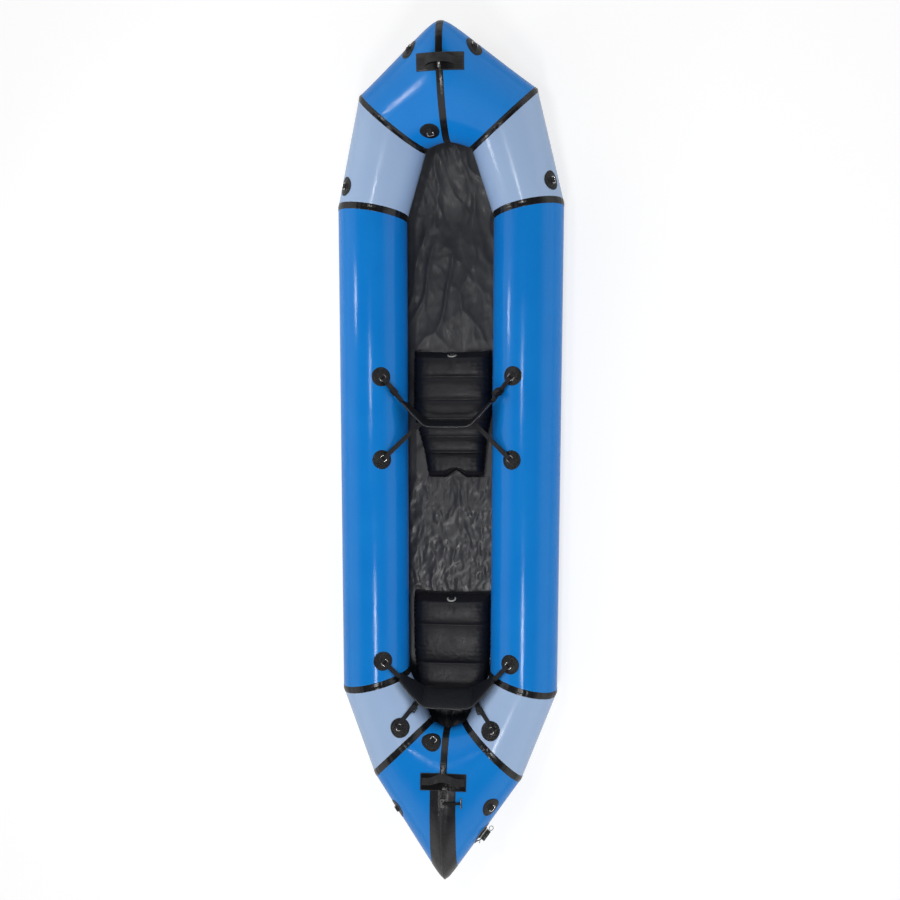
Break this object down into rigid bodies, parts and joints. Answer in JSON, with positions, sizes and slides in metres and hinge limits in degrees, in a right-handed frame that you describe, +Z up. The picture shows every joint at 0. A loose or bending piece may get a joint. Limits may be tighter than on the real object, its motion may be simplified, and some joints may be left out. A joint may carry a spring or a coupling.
{
  "type": "packraft",
  "caption": "Open inflatable packraft for paddling in line: welded ring tube with raised ends, floor sheet, seat pads, strapped back bands, lash rings, grab handles and a stern zipper.",
  "frame": {"origin": "centre of the boat at the underside of the floor, where the boat stands", "axes": "+Y to the bow, +Z up, +X to starboard"},
  "size_m": [0.9076, 3.2409, 0.5457],
  "materials": {
    "tube_fabric_blue": "satin coated fabric, welded panels with black seam tape",
    "tube_fabric_pale": "satin coated fabric, welded panels with black seam tape",
    "floor_fabric_black": "semi-gloss heavy coated fabric, slightly wrinkled",
    "patch_webbing_black": "matte webbing loop on a coated patch",
    "d_ring_metal": "gloss black wire",
    "band_cloth_black": "matte cloth with bound edges",
    "anchor_webbing_black": "matte webbing on a coated patch",
    "tri_glide_plastic": "matte",
    "seat_cloth_black": "matte coated cloth",
    "seat_valve_pale": "satin",
    "seat_valve_cap_black": "satin",
    "main_valve_patch_grey": "matte coated patch",
    "main_valve_black": "satin",
    "main_valve_seal_pale": "matte",
    "main_valve_cap_black": "satin",
    "main_valve_tether_black": "matte",
    "handle_webbing_black": "matte webbing",
    "zipper_tape_black": "coated zipper tape with a raised chain",
    "zipper_slider_black": "gloss",
    "zipper_end_patch_grey": "satin coated patch"
  },
  "bodies": {
    "packraft": {"floor_sheet": "floor_fabric_black", "hull_side_port": "tube_fabric_blue", "hull_bow_quarter_port": "tube_fabric_pale", "hull_stern_quarter_port": "tube_fabric_pale", "hull_bow_end_port": "tube_fabric_blue", "hull_stern_end_port": "tube_fabric_blue", "hull_side_starboard": "tube_fabric_blue", "hull_bow_quarter_starboard": "tube_fabric_pale", "hull_stern_quarter_starboard": "tube_fabric_pale", "hull_bow_end_starboard": "tube_fabric_blue", "hull_stern_end_starboard": "tube_fabric_blue", "lash_patch_bow_inner": "patch_webbing_black", "lash_patch_bow_port": "patch_webbing_black", "lash_patch_bow_starboard": "patch_webbing_black", "lash_patch_front_port": "patch_webbing_black", "lash_patch_front_starboard": "patch_webbing_black", "lash_patch_stern_inner": "patch_webbing_black", "lash_patch_stern_port": "patch_webbing_black", "lash_patch_stern_starboard": "patch_webbing_black", "strap_anchor_front_fore_port": "anchor_webbing_black", "strap_anchor_front_fore_starboard": "anchor_webbing_black", "strap_anchor_front_aft_port": "anchor_webbing_black", "strap_anchor_front_aft_starboard": "anchor_webbing_black", "strap_anchor_rear_fore_port": "anchor_webbing_black", "strap_anchor_rear_fore_starboard": "anchor_webbing_black", "strap_anchor_rear_aft_port": "anchor_webbing_black", "strap_anchor_rear_aft_starboard": "anchor_webbing_black", "front_back_band": "band_cloth_black", "rear_back_band": "band_cloth_black", "front_seat_pad": "seat_cloth_black", "front_seat_valve": "seat_valve_pale", "rear_seat_pad": "seat_cloth_black", "rear_seat_valve": "seat_valve_pale", "main_valve_patch": "main_valve_patch_grey", "main_valve_base": "main_valve_black", "main_valve_seal_ring": "main_valve_seal_pale", "bow_handle_patch": "patch_webbing_black", "bow_handle": "handle_webbing_black", "stern_handle_patch": "patch_webbing_black", "stern_handle": "handle_webbing_black", "zipper_band": "zipper_tape_black", "zipper_end_patch": "zipper_end_patch_grey"},
    "d_ring_bow_inner": {"d_ring_bow_inner": "d_ring_metal"},
    "d_ring_bow_port": {"d_ring_bow_port": "d_ring_metal"},
    "d_ring_bow_starboard": {"d_ring_bow_starboard": "d_ring_metal"},
    "d_ring_front_port": {"d_ring_front_port": "d_ring_metal"},
    "d_ring_front_starboard": {"d_ring_front_starboard": "d_ring_metal"},
    "d_ring_stern_inner": {"d_ring_stern_inner": "d_ring_metal"},
    "d_ring_stern_port": {"d_ring_stern_port": "d_ring_metal"},
    "d_ring_stern_starboard": {"d_ring_stern_starboard": "d_ring_metal"},
    "zipper_slider": {"zipper_slider": "zipper_slider_black"},
    "zipper_pull": {"zipper_pull": "zipper_slider_black"},
    "main_valve_tether": {"main_valve_tether": "main_valve_tether_black"},
    "main_valve_cap": {"main_valve_cap": "main_valve_cap_black"},
    "front_seat_valve_cap": {"front_seat_valve_cap": "seat_valve_cap_black"},
    "rear_seat_valve_cap": {"rear_seat_valve_cap": "seat_valve_cap_black"},
    "tri_glide_front_port": {"tri_glide_front_port": "tri_glide_plastic"},
    "tri_glide_front_starboard": {"tri_glide_front_starboard": "tri_glide_plastic"},
    "tri_glide_rear_port": {"tri_glide_rear_port": "tri_glide_plastic"},
    "tri_glide_rear_starboard": {"tri_glide_rear_starboard": "tri_glide_plastic"}
  },
  "joints": [
    {"name": "swing_of_d_ring_bow_inner", "type": "hinge", "parent": "packraft", "child": "d_ring_bow_inner", "pos_m": [-0.05672, 1.24606, 0.32923], "axis": [-0.9772, -0.0739, -0.1989], "range_deg": [0, 170]},
    {"name": "swing_of_d_ring_bow_port", "type": "hinge", "parent": "packraft", "child": "d_ring_bow_port", "pos_m": [-0.12437, 1.52467, 0.43506], "axis": [0.7364, 0.2975, 0.6077], "range_deg": [0, 170]},
    {"name": "swing_of_d_ring_bow_starboard", "type": "hinge", "parent": "packraft", "child": "d_ring_bow_starboard", "pos_m": [0.12437, 1.52467, 0.43506], "axis": [0.7364, -0.2975, -0.6077], "range_deg": [0, 170]},
    {"name": "swing_of_d_ring_front_port", "type": "hinge", "parent": "packraft", "child": "d_ring_front_port", "pos_m": [-0.40625, 1.07738, 0.24095], "axis": [0.2145, 0.9657, 0.1466], "range_deg": [0, 170]},
    {"name": "swing_of_d_ring_front_starboard", "type": "hinge", "parent": "packraft", "child": "d_ring_front_starboard", "pos_m": [0.40625, 1.07738, 0.24095], "axis": [0.2145, -0.9657, -0.1466], "range_deg": [0, 170]},
    {"name": "swing_of_d_ring_stern_inner", "type": "hinge", "parent": "packraft", "child": "d_ring_stern_inner", "pos_m": [-0.04961, -1.08344, 0.28319], "axis": [0.7891, -0.4866, 0.375], "range_deg": [0, 170]},
    {"name": "swing_of_d_ring_stern_port", "type": "hinge", "parent": "packraft", "child": "d_ring_stern_port", "pos_m": [-0.19109, -1.35995, 0.26038], "axis": [-0.5988, 0.7771, -0.1938], "range_deg": [0, 170]},
    {"name": "swing_of_d_ring_stern_starboard", "type": "hinge", "parent": "packraft", "child": "d_ring_stern_starboard", "pos_m": [0.17916, -1.32619, 0.29587], "axis": [-0.6099, -0.7659, 0.2032], "range_deg": [0, 170]},
    {"name": "slider_along_zipper", "type": "hinge", "parent": "packraft", "child": "zipper_slider", "pos_m": [0, -1.37032, -0.1135], "axis": [1, 0, 0], "range_deg": [0, 23]},
    {"name": "pull_on_slider", "type": "hinge", "parent": "zipper_slider", "child": "zipper_pull", "pos_m": [0, -1.28761, 0.3818], "axis": [0, -0.9863, 0.1647], "range_deg": [0, 140]},
    {"name": "main_cap_rise", "type": "slide", "parent": "packraft", "child": "main_valve_tether", "axis": [0.8055, -0.5682, 0.1684], "range_m": [0, 0.003]},
    {"name": "main_cap_turn", "type": "hinge", "parent": "main_valve_tether", "child": "main_valve_cap", "pos_m": [0.14412, -1.44919, 0.23318], "axis": [0.8055, -0.5682, 0.1684], "range_deg": [0, 360]},
    {"name": "front_seat_cap_turn", "type": "hinge", "parent": "packraft", "child": "front_seat_valve_cap", "pos_m": [0, 0.42363, 0.06584], "axis": [0, 0.8941, 0.4478], "range_deg": [0, 90]},
    {"name": "rear_seat_cap_turn", "type": "hinge", "parent": "packraft", "child": "rear_seat_valve_cap", "pos_m": [0, -0.56953, 0.06584], "axis": [0, 0.8946, 0.447], "range_deg": [0, 90]},
    {"name": "slide_of_tri_glide_front_port", "type": "slide", "parent": "packraft", "child": "tri_glide_front_port", "axis": [0.5938, -0.7559, -0.2758], "range_m": [-0.025, 0.025]},
    {"name": "slide_of_tri_glide_front_starboard", "type": "slide", "parent": "packraft", "child": "tri_glide_front_starboard", "axis": [-0.5938, -0.7559, -0.2758], "range_m": [-0.025, 0.025]},
    {"name": "slide_of_tri_glide_rear_port", "type": "slide", "parent": "packraft", "child": "tri_glide_rear_port", "axis": [0.4662, 0.6796, -0.5664], "range_m": [0, 0.02]},
    {"name": "slide_of_tri_glide_rear_starboard", "type": "slide", "parent": "packraft", "child": "tri_glide_rear_starboard", "axis": [-0.4662, 0.6796, -0.5664], "range_m": [0, 0.02]}
  ],
  "couplings": [
    {"joint": "main_cap_rise", "follows": "main_cap_turn", "m_per_rad": 0.000477}
  ]
}
